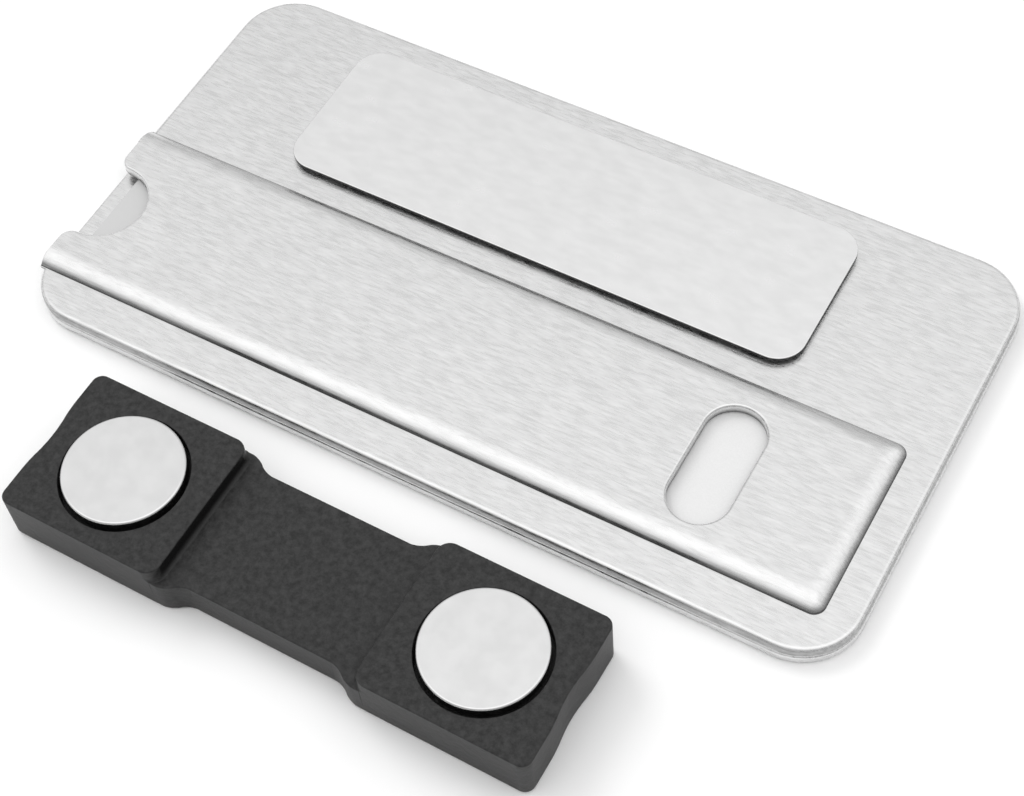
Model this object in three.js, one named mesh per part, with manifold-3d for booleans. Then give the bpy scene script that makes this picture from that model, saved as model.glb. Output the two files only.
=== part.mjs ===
// Magnetic name badge: a two-sheet metal plate with a side-loading card pocket, a steel keeper strip taped
// to its back, and the loose magnet bar that clamps it through cloth. The plate lies face down.
// Millimetres, +Z up. Inside the badge group x runs along the plate from its open pocket end and y runs
// away from the edge that lies next to the magnet bar.

import * as THREE from "three";
import { mergeVertices } from "three/addons/utils/BufferGeometryUtils.js";
import Module from "manifold-3d";

const wasm = await Module();
wasm.setup();

// Plate
const PLATE_LENGTH = 76;
const PLATE_WIDTH = 40.5;
const PLATE_CORNER_R = 5.2;
const FRONT_SHEET_T = 0.95;
const FRONT_EDGE_R = 0.25;
const BACK_SHEET_T = 0.85;
const BACK_EDGE_R = 0.45;

// Card pocket pressed into the back sheet: places are those of the pocket's foot on the rim
const POCKET_NEAR_MARGIN = 3.7;
const POCKET_FAR_MARGIN = 20.05;
const POCKET_END_MARGIN = 3.0;
const POCKET_RISE = 0.9;
const POCKET_SHOULDER_RUN = 1.7;
const POCKET_FOOT_CORNER_R = 1.0;
const POCKET_TIGHT_CORNER_R = 0.3;
const POCKET_TOP_CORNER_R = 1.0;

// Thumb notch in the pocket's open end and push-out slot near its closed end
const NOTCH_R = 3.85;
const NOTCH_DEPTH = 5.05;
const NOTCH_FROM_NEAR_EDGE = 11.6;
const NOTCH_SHOULDER_R = 1.2;
const SLOT_WIDTH = 5.2;
const SLOT_LENGTH = 11.4;
const SLOT_FROM_NEAR_EDGE = 11.85;
const SLOT_FROM_CLOSED_END = 12.55;

// Window in the front sheet, and what lies in the pocket behind it
const WINDOW_BORDER = 2.4;
const WINDOW_CORNER_R = 1.0;
const PANE_T = 0.4;
const CARD_T = 0.35;
const CARD_INSET = 2.0;
const CARD_CORNER_R = 1.2;
const CARD_SIDE_CLEARANCE = 0.3;
const CARD_LIFT = 0.05;

// Keeper strip on its foam tape
const STRIP_LENGTH = 49.2;
const STRIP_WIDTH = 14.8;
const STRIP_T = 0.35;
const STRIP_CORNER_R = 2.5;
const STRIP_EDGE_R = 0.12;
const STRIP_FROM_OPEN_END = 12.55;
const STRIP_FROM_FAR_EDGE = 2.87;
const TAPE_T = 0.35;
const TAPE_INSET = 0.35;

// Magnet bar
const BAR_LENGTH = 47.5;
const BAR_PAD_WIDTH = 13.4;
const BAR_MIDDLE_WIDTH = 11.35;
const BAR_PAD_HEIGHT = 4.85;
const BAR_MIDDLE_HEIGHT = 3.5;
const BAR_CORNER_R = 0.9;
const BAR_EDGE_R = 0.3;
const BAR_RECESS_LENGTH = 17.8;
const BAR_PAD_CORNER_R = 1.2;
const BAR_NECK_LENGTH = 2.7;
const BAR_NECK_CENTRE = 7.65;
const BAR_WAIST_DEPTH = 0.27;
const BAR_WAIST_CHORD = 7.3;
const BAR_TO_PLATE_GAP = 4.63;
const BAR_CENTRE_FROM_OPEN_END = 36.65;
const BAR_TURN_DEG = -0.45;

// Magnets in their seats
const MAGNET_D = 10;
const MAGNET_T = 2.0;
const MAGNET_EDGE_R = 0.12;
const MAGNET_STANDS_PROUD = 0.4;
const SEAT_GAP = 0.3;

// Fineness of the round stretches
const CORNER_STEPS = 8;
const EDGE_STEPS = 3;
const SHOULDER_STEPS = 6;
const ROUND_SIDES = 48;
const CUT_REACH = 4;
const MERGE_DISTANCE = 1e-4;

// Finishes
const brushedSheet = new THREE.MeshStandardMaterial({ color: 0xd6d7d8, roughness: 0.38, metalness: 1 });
const satinSteel = new THREE.MeshStandardMaterial({ color: 0xdcdddd, roughness: 0.3, metalness: 1 });
const nickelPlate = new THREE.MeshStandardMaterial({ color: 0xdddddb, roughness: 0.22, metalness: 1 });
const blackMoulding = new THREE.MeshStandardMaterial({ color: 0x2b2b2c, roughness: 0.62, metalness: 0 });
const darkFoam = new THREE.MeshStandardMaterial({ color: 0x3a3a3b, roughness: 0.9, metalness: 0 });
const whiteCard = new THREE.MeshStandardMaterial({ color: 0xebebea, roughness: 0.7, metalness: 0 });
const clearSheet = new THREE.MeshStandardMaterial({
  color: 0xf3f5f5,
  roughness: 0.08,
  metalness: 0,
  transparent: true,
  opacity: 0.35,
});

// Heights in the plate, from the floor up
const rimTop = FRONT_SHEET_T + BACK_SHEET_T;
const pocketTop = rimTop + POCKET_RISE;
const stripSeat = rimTop + TAPE_T;

// Rounded rectangle with its lower left corner at (x, y)
function roundedRectangle(x, y, length, width, r) {
  const shape = new THREE.Shape();
  shape.moveTo(x + r, y);
  shape.lineTo(x + length - r, y);
  shape.absarc(x + length - r, y + r, r, -Math.PI / 2, 0, false);
  shape.lineTo(x + length, y + width - r);
  shape.absarc(x + length - r, y + width - r, r, 0, Math.PI / 2, false);
  shape.lineTo(x + r, y + width);
  shape.absarc(x + r, y + width - r, r, Math.PI / 2, Math.PI, false);
  shape.lineTo(x, y + r);
  shape.absarc(x + r, y + r, r, Math.PI, 1.5 * Math.PI, false);
  return shape;
}

// Flat piece of an outline between two heights, both of its edges rounded by edgeR
function sheet(shape, bottom, top, edgeR = 0) {
  const geometry = new THREE.ExtrudeGeometry(shape, {
    depth: top - bottom - 2 * edgeR,
    curveSegments: CORNER_STEPS,
    bevelEnabled: edgeR > 0,
    bevelThickness: edgeR,
    bevelSize: edgeR,
    bevelOffset: -edgeR,
    bevelSegments: EDGE_STEPS,
  });
  return geometry.translate(0, 0, bottom + edgeR);
}

// Closed body through a stack of outlines of equally many points, each an array of Vector3, lowest first
function stack(outlines) {
  const count = outlines[0].length;
  const positions = outlines.flat().flatMap((p) => [p.x, p.y, p.z]);
  const index = [];
  for (let level = 0; level < outlines.length - 1; level++) {
    for (let i = 0; i < count; i++) {
      const a = level * count + i;
      const b = level * count + ((i + 1) % count);
      index.push(a, b, b + count, a, b + count, a + count);
    }
  }
  const flat = outlines[0].map((p) => new THREE.Vector2(p.x, p.y));
  for (const [a, b, c] of THREE.ShapeUtils.triangulateShape(flat, [])) {
    const lift = (outlines.length - 1) * count;
    index.push(c, b, a, a + lift, b + lift, c + lift);
  }
  const geometry = new THREE.BufferGeometry();
  geometry.setAttribute("position", new THREE.Float32BufferAttribute(positions, 3));
  geometry.setIndex(index);
  return geometry;
}

// Solids for cutting and joining
function solidOf(geometry) {
  const bare = geometry.clone();
  bare.deleteAttribute("normal");
  bare.deleteAttribute("uv");
  const merged = mergeVertices(bare, MERGE_DISTANCE);
  return new wasm.Manifold(
    new wasm.Mesh({
      numProp: 3,
      vertProperties: new Float32Array(merged.attributes.position.array),
      triVerts: new Uint32Array(merged.index.array),
    }),
  );
}

function geometryOf(solid) {
  const mesh = solid.getMesh();
  const geometry = new THREE.BufferGeometry();
  geometry.setAttribute("position", new THREE.BufferAttribute(mesh.vertProperties, mesh.numProp));
  geometry.setIndex(new THREE.BufferAttribute(mesh.triVerts, 1));
  const facets = geometry.toNonIndexed();
  facets.computeVertexNormals();
  return facets;
}

function piece(name, geometry, material) {
  const mesh = new THREE.Mesh(geometry, material);
  mesh.name = name;
  return mesh;
}

// Place and size of the pocket's foot on the rim
const pocket = {
  near: POCKET_NEAR_MARGIN,
  far: PLATE_WIDTH - POCKET_FAR_MARGIN,
  end: PLATE_LENGTH - POCKET_END_MARGIN,
};

// The shoulder is one arc in section, flat at the pocket's top and steepest at its foot
const shoulderR = (POCKET_SHOULDER_RUN ** 2 + POCKET_RISE ** 2) / (2 * POCKET_RISE);
const shoulderCentreZ = pocketTop - shoulderR;

// Distance from the pocket's foot to the shoulder's face of radius r, at height z
function shoulderInset(r, z) {
  return POCKET_SHOULDER_RUN - Math.sqrt(Math.max(r ** 2 - (z - shoulderCentreZ) ** 2, 0));
}

// Radius of the pocket's corners: it tightens up the steep part of the shoulder and opens again towards the top
function pocketCornerR(inset) {
  const tightest = POCKET_FOOT_CORNER_R - POCKET_TIGHT_CORNER_R;
  if (inset < tightest) {
    return POCKET_FOOT_CORNER_R - inset;
  }
  const share = (inset - tightest) / (POCKET_SHOULDER_RUN - tightest);
  return THREE.MathUtils.lerp(POCKET_TIGHT_CORNER_R, POCKET_TOP_CORNER_R, share);
}

// Outline of the pocket at one height: past the plate's open end, and with two round corners at the closed end
function pocketOutline(inset, z) {
  const cornerR = pocketCornerR(inset);
  const near = pocket.near + inset;
  const far = pocket.far - inset;
  const end = pocket.end - inset;
  const points = [new THREE.Vector3(-CUT_REACH, far, z), new THREE.Vector3(-CUT_REACH, near, z)];
  for (const [centreY, from] of [
    [near + cornerR, -Math.PI / 2],
    [far - cornerR, 0],
  ]) {
    for (let i = 0; i <= CORNER_STEPS; i++) {
      const angle = from + (i / CORNER_STEPS) * (Math.PI / 2);
      points.push(
        new THREE.Vector3(end - cornerR + cornerR * Math.cos(angle), centreY + cornerR * Math.sin(angle), z),
      );
    }
  }
  return points;
}

// Pillow-shaped body of the pocket, its shoulder of radius r, straight below its foot
function pocketBody(r, foot, bottom) {
  const steepest = Math.acos((foot - shoulderCentreZ) / r);
  const footInset = shoulderInset(r, foot);
  const outlines = [pocketOutline(footInset, bottom)];
  for (let i = 0; i <= SHOULDER_STEPS; i++) {
    const angle = steepest * (1 - i / SHOULDER_STEPS);
    const z = shoulderCentreZ + r * Math.cos(angle);
    outlines.push(pocketOutline(POCKET_SHOULDER_RUN - r * Math.sin(angle), z));
  }
  return stack(outlines);
}

// Thumb notch: a round scoop whose mouth at the plate's end is opened by two round shoulders
function notchShape() {
  const centreX = NOTCH_DEPTH - NOTCH_R;
  const centreY = NOTCH_FROM_NEAR_EDGE;
  const reach = NOTCH_R + NOTCH_SHOULDER_R;
  const rise = Math.sqrt(reach ** 2 - (NOTCH_SHOULDER_R - centreX) ** 2);
  const lean = Math.atan2(rise, NOTCH_SHOULDER_R - centreX);
  const shape = new THREE.Shape();
  shape.moveTo(-CUT_REACH, centreY - rise);
  shape.lineTo(0, centreY - rise);
  shape.absarc(NOTCH_SHOULDER_R, centreY - rise, NOTCH_SHOULDER_R, Math.PI, Math.PI - lean, true);
  shape.absarc(centreX, centreY, NOTCH_R, -lean, lean, false);
  shape.absarc(NOTCH_SHOULDER_R, centreY + rise, NOTCH_SHOULDER_R, lean - Math.PI, -Math.PI, true);
  shape.lineTo(-CUT_REACH, centreY + rise);
  return shape;
}

function slotShape() {
  const x = pocket.end - SLOT_FROM_CLOSED_END - SLOT_WIDTH / 2;
  const y = SLOT_FROM_NEAR_EDGE - SLOT_LENGTH / 2;
  return roundedRectangle(x, y, SLOT_WIDTH, SLOT_LENGTH, SLOT_WIDTH / 2);
}

// Back sheet: rim with a rounded upper edge, the pocket pressed up from it and hollow below, the notch, the slot
function backPlate() {
  const plateShape = roundedRectangle(0, 0, PLATE_LENGTH, PLATE_WIDTH, PLATE_CORNER_R);
  const rim = solidOf(sheet(plateShape, FRONT_SHEET_T - BACK_EDGE_R, rimTop, BACK_EDGE_R));
  const aboveFront = solidOf(sheet(plateShape, FRONT_SHEET_T, pocketTop + CUT_REACH));
  const footInside = rimTop - BACK_SHEET_T / 2;
  const outer = solidOf(pocketBody(shoulderR, rimTop, footInside));
  const inner = solidOf(pocketBody(shoulderR - BACK_SHEET_T, FRONT_SHEET_T, FRONT_SHEET_T - CUT_REACH));
  const notch = solidOf(sheet(notchShape(), 0, pocketTop + CUT_REACH));
  const slot = solidOf(sheet(slotShape(), 0, pocketTop + CUT_REACH));
  return geometryOf(rim.add(outer).intersect(aboveFront).subtract(inner).subtract(notch).subtract(slot));
}

// Room inside the pocket at the height of the front sheet, for the pane and the card
const pocketRoom = (() => {
  const wall = shoulderInset(shoulderR - BACK_SHEET_T, FRONT_SHEET_T + PANE_T + CARD_LIFT + CARD_T);
  const near = pocket.near + wall + CARD_SIDE_CLEARANCE;
  const far = pocket.far - wall - CARD_SIDE_CLEARANCE;
  const end = pocket.end - wall - CARD_SIDE_CLEARANCE;
  return { near, far, end };
})();

function cardShape() {
  const { near, far, end } = pocketRoom;
  return roundedRectangle(CARD_INSET, near, end - CARD_INSET, far - near, CARD_CORNER_R);
}

// Front sheet with the window, which the card overlaps all round
function frontPlate() {
  const shape = roundedRectangle(0, 0, PLATE_LENGTH, PLATE_WIDTH, PLATE_CORNER_R);
  const { near, far, end } = pocketRoom;
  const x = CARD_INSET + WINDOW_BORDER;
  const y = near + WINDOW_BORDER;
  const window = roundedRectangle(x, y, end - WINDOW_BORDER - x, far - WINDOW_BORDER - y, WINDOW_CORNER_R);
  shape.holes.push(new THREE.Path(window.getPoints(CORNER_STEPS).reverse()));
  return sheet(shape, 0, FRONT_SHEET_T, FRONT_EDGE_R);
}

function stripShape(inset) {
  return roundedRectangle(
    STRIP_FROM_OPEN_END + inset,
    PLATE_WIDTH - STRIP_FROM_FAR_EDGE - STRIP_WIDTH + inset,
    STRIP_LENGTH - 2 * inset,
    STRIP_WIDTH - 2 * inset,
    STRIP_CORNER_R - inset,
  );
}

// One quarter of the bar's outline, from the middle of its long side round to the middle of its end
function barQuarter() {
  const halfPad = BAR_PAD_WIDTH / 2;
  const halfMiddle = BAR_MIDDLE_WIDTH / 2;
  const halfLength = BAR_LENGTH / 2;
  const offset = halfPad - halfMiddle;
  const neckR = (BAR_NECK_LENGTH ** 2 + offset ** 2) / (4 * offset);
  const neckAngle = Math.asin(BAR_NECK_LENGTH / 2 / neckR);
  const start = BAR_NECK_CENTRE - BAR_NECK_LENGTH / 2;
  const end = BAR_NECK_CENTRE + BAR_NECK_LENGTH / 2;
  const points = [];
  for (let i = 0; i <= CORNER_STEPS; i++) {
    const a = (neckAngle * i) / CORNER_STEPS;
    points.push(new THREE.Vector2(start + neckR * Math.sin(a), halfMiddle + neckR * (1 - Math.cos(a))));
  }
  for (let i = CORNER_STEPS - 1; i >= 0; i--) {
    const a = (neckAngle * i) / CORNER_STEPS;
    points.push(new THREE.Vector2(end - neckR * Math.sin(a), halfPad - neckR * (1 - Math.cos(a))));
  }
  for (let i = 0; i <= CORNER_STEPS; i++) {
    const a = (Math.PI / 2) * (i / CORNER_STEPS);
    points.push(
      new THREE.Vector2(
        halfLength - BAR_CORNER_R + BAR_CORNER_R * Math.sin(a),
        halfPad - BAR_CORNER_R + BAR_CORNER_R * Math.cos(a),
      ),
    );
  }
  const waistSteps = 2 * CORNER_STEPS;
  for (let i = 0; i < waistSteps; i++) {
    const y = (BAR_WAIST_CHORD / 2) * (1 - i / waistSteps);
    const dip = (1 + Math.cos((2 * Math.PI * y) / BAR_WAIST_CHORD)) / 2;
    points.push(new THREE.Vector2(halfLength - BAR_WAIST_DEPTH * dip, y));
  }
  return points;
}

function barShape() {
  const quarter = barQuarter();
  const middleOfEnd = new THREE.Vector2(BAR_LENGTH / 2 - BAR_WAIST_DEPTH, 0);
  const right = [...quarter, middleOfEnd, ...quarter.map((p) => new THREE.Vector2(p.x, -p.y)).reverse()];
  const left = right.map((p) => new THREE.Vector2(-p.x, -p.y));
  return new THREE.Shape([...right, ...left].reverse());
}

// Cut over the bar's middle, flared so that the pads' upper corners beside it are round
function recessShape() {
  const halfX = BAR_RECESS_LENGTH / 2;
  const r = BAR_PAD_CORNER_R;
  const flareY = BAR_PAD_WIDTH / 2 - BAR_EDGE_R - r;
  const reach = BAR_PAD_WIDTH / 2 + CUT_REACH;
  const shape = new THREE.Shape();
  shape.moveTo(-halfX - r, -reach);
  shape.lineTo(halfX + r, -reach);
  shape.lineTo(halfX + r, -flareY - r);
  shape.absarc(halfX + r, -flareY, r, -Math.PI / 2, -Math.PI, true);
  shape.lineTo(halfX, flareY);
  shape.absarc(halfX + r, flareY, r, Math.PI, Math.PI / 2, true);
  shape.lineTo(halfX + r, reach);
  shape.lineTo(-halfX - r, reach);
  shape.lineTo(-halfX - r, flareY + r);
  shape.absarc(-halfX - r, flareY, r, Math.PI / 2, 0, true);
  shape.lineTo(-halfX, -flareY);
  shape.absarc(-halfX - r, -flareY, r, 0, -Math.PI / 2, true);
  return shape;
}

// A magnet sits in the middle of each pad
const magnetFromBarCentre = (BAR_RECESS_LENGTH + BAR_LENGTH) / 4;
const seatR = MAGNET_D / 2 + SEAT_GAP;
const seatFloor = BAR_PAD_HEIGHT + MAGNET_STANDS_PROUD - MAGNET_T;

function magnetBar() {
  const body = solidOf(sheet(barShape(), 0, BAR_PAD_HEIGHT, BAR_EDGE_R));
  const recess = solidOf(sheet(recessShape(), BAR_MIDDLE_HEIGHT, BAR_PAD_HEIGHT + CUT_REACH));
  const seatDepth = BAR_PAD_HEIGHT + CUT_REACH - seatFloor;
  const seats = [-1, 1].map((side) => {
    const seat = new THREE.CylinderGeometry(seatR, seatR, seatDepth, ROUND_SIDES);
    seat.rotateX(Math.PI / 2);
    return solidOf(seat.translate(side * magnetFromBarCentre, 0, seatFloor + seatDepth / 2));
  });
  return geometryOf(seats.reduce((solid, seat) => solid.subtract(seat), body.subtract(recess)));
}

// Round disc with rounded rims, standing on its seat
function magnet() {
  const r = MAGNET_D / 2;
  const rim = (centreZ, from) =>
    Array.from({ length: EDGE_STEPS + 1 }, (_, i) => {
      const angle = from + (i / EDGE_STEPS) * (Math.PI / 2);
      return new THREE.Vector2(
        r - MAGNET_EDGE_R + MAGNET_EDGE_R * Math.cos(angle),
        centreZ + MAGNET_EDGE_R * Math.sin(angle),
      );
    });
  const profile = [
    new THREE.Vector2(0, 0),
    ...rim(MAGNET_EDGE_R, -Math.PI / 2),
    ...rim(MAGNET_T - MAGNET_EDGE_R, 0),
    new THREE.Vector2(0, MAGNET_T),
  ];
  return new THREE.LatheGeometry(profile, ROUND_SIDES).rotateX(Math.PI / 2);
}

const plate = new THREE.Group();
plate.add(piece("front_plate", frontPlate(), brushedSheet));
plate.add(piece("back_plate", backPlate(), brushedSheet));
plate.add(piece("window_pane", sheet(cardShape(), FRONT_SHEET_T, FRONT_SHEET_T + PANE_T), clearSheet));
const cardFloor = FRONT_SHEET_T + PANE_T + CARD_LIFT;
plate.add(piece("insert_card", sheet(cardShape(), cardFloor, cardFloor + CARD_T), whiteCard));
plate.add(piece("foam_tape", sheet(stripShape(TAPE_INSET), rimTop, stripSeat), darkFoam));
plate.add(piece("keeper_strip", sheet(stripShape(0), stripSeat, stripSeat + STRIP_T, STRIP_EDGE_R), satinSteel));

const bar = new THREE.Group();
bar.add(piece("magnet_bar", magnetBar(), blackMoulding));
for (const [name, side] of [
  ["magnet_left", -1],
  ["magnet_right", 1],
]) {
  const disc = piece(name, magnet(), nickelPlate);
  disc.position.set(side * magnetFromBarCentre, 0, seatFloor);
  bar.add(disc);
}
bar.position.set(BAR_CENTRE_FROM_OPEN_END, -BAR_TO_PLATE_GAP - BAR_PAD_WIDTH / 2, 0);
bar.rotation.z = THREE.MathUtils.degToRad(BAR_TURN_DEG);

// The origin is the middle of the whole object's box, on the floor
const badge = new THREE.Group();
badge.add(plate, bar);
badge.updateMatrixWorld(true);
const middle = new THREE.Box3().setFromObject(badge, true).getCenter(new THREE.Vector3());
badge.position.set(-middle.x, -middle.y, 0);

export default badge;
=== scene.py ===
"""Magnetic name badge, face down with its card pocket and keeper strip up, and its loose magnet bar."""
import logging
import math
from collections.abc import Sequence
from dataclasses import dataclass
from enum import Enum

import bmesh
import bpy
from mathutils import Matrix, Vector


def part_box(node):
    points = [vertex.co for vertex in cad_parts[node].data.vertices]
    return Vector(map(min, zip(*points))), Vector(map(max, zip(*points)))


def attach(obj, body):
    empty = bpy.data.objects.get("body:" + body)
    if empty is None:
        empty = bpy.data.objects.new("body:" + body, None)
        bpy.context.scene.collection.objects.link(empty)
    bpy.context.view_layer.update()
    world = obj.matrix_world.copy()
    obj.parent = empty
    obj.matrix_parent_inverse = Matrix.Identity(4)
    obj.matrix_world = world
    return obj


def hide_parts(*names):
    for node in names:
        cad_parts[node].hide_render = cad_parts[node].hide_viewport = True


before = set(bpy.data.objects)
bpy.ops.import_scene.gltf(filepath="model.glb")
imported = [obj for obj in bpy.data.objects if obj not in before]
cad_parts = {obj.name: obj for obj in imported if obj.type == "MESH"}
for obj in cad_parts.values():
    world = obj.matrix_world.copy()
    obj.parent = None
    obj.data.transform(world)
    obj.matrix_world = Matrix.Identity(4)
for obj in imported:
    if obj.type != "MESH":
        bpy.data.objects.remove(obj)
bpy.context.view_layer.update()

# Metres in a millimetre; all other lengths here are in millimetres unless they say otherwise
MM = 0.001
# Facets in a corner of an outline, and across a rounded edge
ROUND_STEPS = 16
LIP_STEPS = 5
# Roundings that would meet are drawn this share of their size, so that a short straight stays between them
NEARLY_FULL = 0.999
# Heights that differ by less are the same, and points that lie closer are one
SAME = 1e-6
WELD = 1e-5
# How far a cutter reaches past what it cuts, and the gap by which faces are kept from coinciding in a cut
CUTTER_REACH = 3.0
HAIR = 0.004
# Angle in degrees past which an edge stays sharp
SHARP_DEG = 32.0
# How much more a large face counts than a small one when a normal is averaged; 50 is even
FACE_WEIGHT = 100
# Attribute that says how deep a point lies in a hollow, which sets how much painted shade it gets
CREASE_SHADE = "crease_shade"
# A noise pattern seldom leaves the first range, and turns from one colour to the other over the second
NOISE_SPREAD = (0.3, 0.7)
TINT_SPREAD = (0.35, 0.65)
# Places of a mix node's inputs and output, whose names are shared between its kinds
VALUE_A, VALUE_B = 2, 3
COLOUR_A, COLOUR_B, COLOUR_OUT = 6, 7, 2

log = logging.getLogger("name_badge")


class Cut(Enum):
    """What one solid does to another."""

    JOIN = "UNION"
    REMOVE = "DIFFERENCE"


class Rounded(Enum):
    """What a bevel rounds."""

    CORNERS = "VERTICES"
    EDGES = "EDGES"


@dataclass(frozen=True)
class Corner:
    """One corner of a flat outline: its place and its rounding, in millimetres."""

    x: float
    y: float
    r: float = 0.0


# Meshes

MeshPart = bmesh.types.BMVert | bmesh.types.BMEdge | bmesh.types.BMFace


def rectangle(x: float, y: float, length: float, width: float, r: float) -> list[Corner]:
    """Corners of a rounded rectangle.

    Args:
        x: Left side.
        y: Near side.
        length: Size along x.
        width: Size along y.
        r: Radius of all four corners.

    Returns:
        The corners, anticlockwise from the near left one.
    """
    return [
        Corner(x, y, r),
        Corner(x + length, y, r),
        Corner(x + length, y + width, r),
        Corner(x, y + width, r),
    ]


def bevel(
    shape: bmesh.types.BMesh, geom: Sequence[MeshPart], reach: float, steps: int, what: Rounded
) -> None:
    """Rounds corners or edges by an arc.

    Args:
        shape: Mesh that they are part of.
        geom: The corners' points or the edges.
        reach: How far the arc reaches along each side.
        steps: Facets in the arc.
        what: Whether corners or edges are rounded.
    """
    bmesh.ops.bevel(
        shape,
        geom=geom,
        offset=reach,
        offset_type="OFFSET",
        segments=steps,
        profile=0.5,
        affect=what.value,
        clamp_overlap=False,
        material=-1,
    )


def extrude(shape: bmesh.types.BMesh, geom: Sequence[MeshPart], height: float) -> None:
    """Extrudes faces upwards.

    Args:
        shape: Mesh that they are part of.
        geom: The faces, which may come with their edges.
        height: How far they go up.
    """
    grown = bmesh.ops.extrude_face_region(shape, geom=geom)["geom"]
    lifted = [part for part in grown if isinstance(part, bmesh.types.BMVert)]
    bmesh.ops.translate(shape, vec=(0, 0, height), verts=lifted)
    bmesh.ops.recalc_face_normals(shape, faces=shape.faces)


def outline(shape: bmesh.types.BMesh, corners: Sequence[Corner], z: float) -> bmesh.types.BMFace:
    """Flat face whose corners are rounded by vertex bevels.

    Args:
        shape: Mesh that the face is added to.
        corners: The outline's corners, anticlockwise.
        z: Height of the face.

    Returns:
        The face.
    """
    others = set(shape.faces)
    points = [shape.verts.new((c.x, c.y, z)) for c in corners]
    shape.faces.new(points)
    for i, corner in enumerate(corners):
        if corner.r > 0:
            before, after = corners[i - 1], corners[(i + 1) % len(corners)]
            into = Vector((before.x - corner.x, before.y - corner.y))
            out = Vector((after.x - corner.x, after.y - corner.y))
            reach = corner.r / math.tan(into.angle(out) / 2)
            bevel(shape, [points[i]], reach, ROUND_STEPS, Rounded.CORNERS)
    return next(face for face in shape.faces if face not in others)


def round_level(shape: bmesh.types.BMesh, z: float, r: float) -> None:
    """Rounds all edges that lie at one height.

    Args:
        shape: Mesh of one prism.
        z: Height of the edges.
        r: Radius of the rounding; nothing is done for 0.
    """
    if r > 0:
        level = [e for e in shape.edges if all(abs(v.co.z - z) < SAME for v in e.verts)]
        bevel(shape, level, r, LIP_STEPS, Rounded.EDGES)


def prism(
    corners: Sequence[Corner], bottom: float, top: float, top_r: float = 0.0, bottom_r: float = 0.0
) -> bmesh.types.BMesh:
    """Flat piece of an outline between two heights.

    Args:
        corners: The outline's corners, anticlockwise.
        bottom: Height of the underside.
        top: Height of the upper side.
        top_r: Rounding of the upper edge.
        bottom_r: Rounding of the lower edge.

    Returns:
        The piece as a closed mesh.
    """
    shape = bmesh.new()
    extrude(shape, [outline(shape, corners, bottom)], top - bottom)
    round_level(shape, top, top_r)
    round_level(shape, bottom, bottom_r)
    return shape


def lipped_cutter(corners: Sequence[Corner], bottom: float, surface: float, lip: float) -> bmesh.types.BMesh:
    """Cutter with upright walls that flares at its mouth, so that the cut's upper edge comes out round.

    Args:
        corners: The cut's outline below its lip.
        bottom: Height of the cutter's underside.
        surface: Height of the surface that it cuts into.
        lip: Radius of the rounded edge that it leaves.

    Returns:
        The cutter as a closed mesh that ends well above the surface.
    """
    shape = prism(corners, bottom, surface - lip + HAIR)
    out, up = 0.0, 0.0
    for i in range(1, LIP_STEPS + 1):
        angle = math.radians(90 * i / LIP_STEPS)
        next_out, next_up = lip * (1 - math.cos(angle)), lip * math.sin(angle)
        bmesh.ops.inset_region(
            shape, faces=[mouth(shape)], thickness=out - next_out, depth=next_up - up, use_even_offset=True
        )
        out, up = next_out, next_up
    face = mouth(shape)
    extrude(shape, [face, *face.edges], CUTTER_REACH)
    return shape


def mouth(shape: bmesh.types.BMesh) -> bmesh.types.BMFace:
    """The highest face of a mesh."""
    return max(shape.faces, key=lambda face: face.calc_center_median().z)


def lofted(levels: Sequence[tuple[Sequence[Corner], float]]) -> bmesh.types.BMesh:
    """Closed body through outlines at rising heights, each with the same number of corners.

    Args:
        levels: Pairs of an outline's corners and its height, lowest first.

    Returns:
        The body as a closed mesh.
    """
    shape = bmesh.new()
    rings: list[list[bmesh.types.BMEdge]] = []
    for i, (corners, z) in enumerate(levels):
        face = outline(shape, corners, z)
        rings.append(list(face.edges))
        if 0 < i < len(levels) - 1:
            bmesh.ops.delete(shape, geom=[face], context="FACES_ONLY")
    for lower, upper in zip(rings, rings[1:]):
        bmesh.ops.bridge_loops(shape, edges=lower + upper)
    bmesh.ops.recalc_face_normals(shape, faces=shape.faces)
    return shape


def bare_object(shape: bmesh.types.BMesh, name: str) -> bpy.types.Object:
    """Puts a mesh into the scene as it is.

    Args:
        shape: Mesh in metres; it is freed.
        name: Name of the object.

    Returns:
        The new object.
    """
    mesh = bpy.data.meshes.new(name)
    shape.to_mesh(mesh)
    shape.free()
    thing = bpy.data.objects.new(name, mesh)
    bpy.context.scene.collection.objects.link(thing)
    return thing


def carved(body: bmesh.types.BMesh, tool: bmesh.types.BMesh, cut: Cut) -> bmesh.types.BMesh:
    """Joins one solid to another, or cuts it out.

    Args:
        body: Solid that is changed; it is freed.
        tool: Solid that is joined or removed; it is freed.
        cut: Which of the two is done.

    Returns:
        The new solid.
    """
    body_object = bare_object(body, "body")
    tool_object = bare_object(tool, "tool")
    step = body_object.modifiers.new("carve", "BOOLEAN")
    step.operation = cut.value
    step.solver = "EXACT"
    step.object = tool_object
    graph = bpy.context.evaluated_depsgraph_get()
    result = bmesh.new()
    result.from_object(body_object, graph)
    for thing in (body_object, tool_object):
        mesh = thing.data
        bpy.data.objects.remove(thing)
        bpy.data.meshes.remove(mesh)
    bmesh.ops.remove_doubles(result, verts=result.verts, dist=WELD)
    bmesh.ops.dissolve_degenerate(result, edges=result.edges, dist=WELD)
    return result


def mark_sides(shape: bmesh.types.BMesh, below: float, slope: float) -> None:
    """Gives a sheet's steep sides its second material.

    Args:
        shape: Mesh of the sheet.
        below: Height that a side has to lie under.
        slope: Height of the normal that a side has to stay under.
    """
    for face in shape.faces:
        upright = abs(face.normal.z) < slope and face.calc_center_median().z < below
        face.material_index = 1 if upright else 0


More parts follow.
